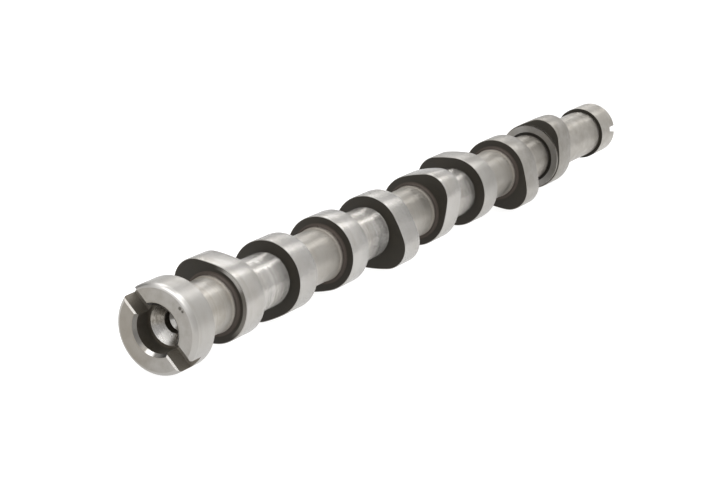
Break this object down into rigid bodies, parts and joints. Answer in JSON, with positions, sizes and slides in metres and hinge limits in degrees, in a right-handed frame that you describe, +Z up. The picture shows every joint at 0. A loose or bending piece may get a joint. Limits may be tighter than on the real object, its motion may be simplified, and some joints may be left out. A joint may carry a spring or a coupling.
{
  "type": "camshaft",
  "caption": "Straight steel shaft with egg-shaped lobes set at different angles that open engine valves, a slotted drive flange at one end and a plain collar at the other.",
  "frame": {"origin": "where the shaft's axis meets the plane of the drive face", "axes": "+X along the shaft's axis from the drive face to the rear end, +Z up as the shaft lies at rest, +Y across"},
  "size_m": [0.4285, 0.0424, 0.0424],
  "materials": {
    "steel": "turned, hardened and ground; forging skin left on the lobes' sides"
  },
  "bodies": {
    "root": {"camshaft": "steel"}
  },
  "joints": []
}
